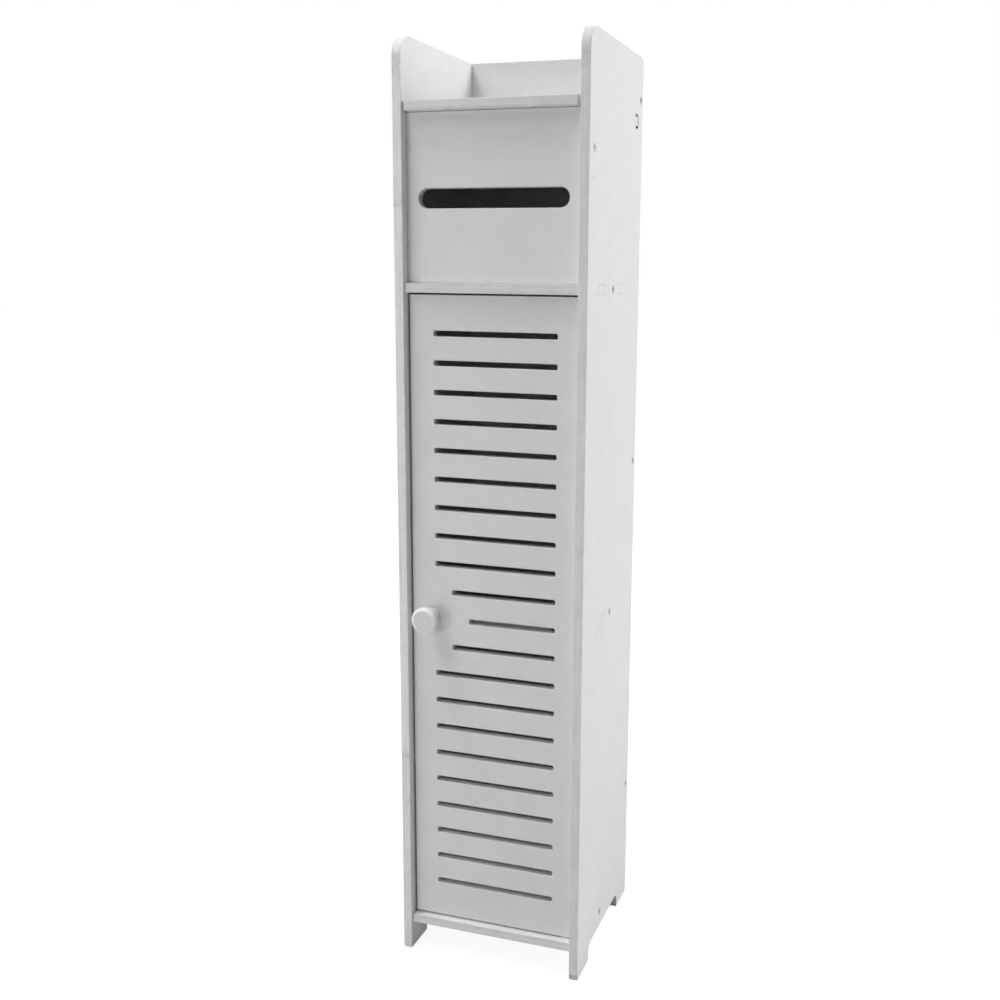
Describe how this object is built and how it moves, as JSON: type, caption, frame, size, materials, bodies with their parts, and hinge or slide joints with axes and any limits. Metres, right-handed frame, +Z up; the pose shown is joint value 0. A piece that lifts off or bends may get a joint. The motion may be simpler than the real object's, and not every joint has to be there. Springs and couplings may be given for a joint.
{
  "type": "toilet roll storage cabinet",
  "caption": "Narrow floor-standing bathroom cabinet with a louvred door, a lift-up lid and a tissue slot.",
  "frame": {"origin": "on the floor, under the middle of the overall box, knob included", "axes": "+Z up, the front with the door faces -Y, +X to the right as seen from the front"},
  "size_m": [0.167, 0.177, 0.8],
  "materials": {
    "board": "matte white foamed board with a faint satin skin",
    "knob_plastic": "glossy white moulding",
    "washer_plastic": "matte white moulding",
    "zinc_steel": "bright zinc plate"
  },
  "bodies": {
    "cabinet": {"left_side_panel": "board", "right_side_panel": "board", "back_panel": "board", "slot_panel": "board", "mid_shelf": "board", "inner_shelf": "board", "bottom_board": "board", "door_washer": "washer_plastic", "slot_panel_screw_left": "zinc_steel", "slot_panel_screw_right": "zinc_steel", "mid_shelf_screw_left": "zinc_steel", "mid_shelf_screw_right": "zinc_steel", "inner_shelf_screw_left": "zinc_steel", "inner_shelf_screw_right": "zinc_steel", "bottom_board_screw_left": "zinc_steel", "bottom_board_screw_right": "zinc_steel", "back_panel_screws_left": "zinc_steel", "back_panel_screws_right": "zinc_steel"},
    "lid": {"lid": "board"},
    "door": {"door": "board", "door_pin_upper": "zinc_steel", "door_pin_lower": "zinc_steel", "knob": "knob_plastic", "knob_screw": "zinc_steel"}
  },
  "joints": [
    {"name": "lid_pivot", "type": "hinge", "parent": "cabinet", "child": "lid", "pos_m": [0, 0.068, 0.744], "axis": [-1, 0, 0], "range_deg": [0, 93]},
    {"name": "door_pivot", "type": "hinge", "parent": "cabinet", "child": "door", "pos_m": [0.0675, -0.064, 0.315], "axis": [0, 0, 1], "range_deg": [0, 105]}
  ]
}
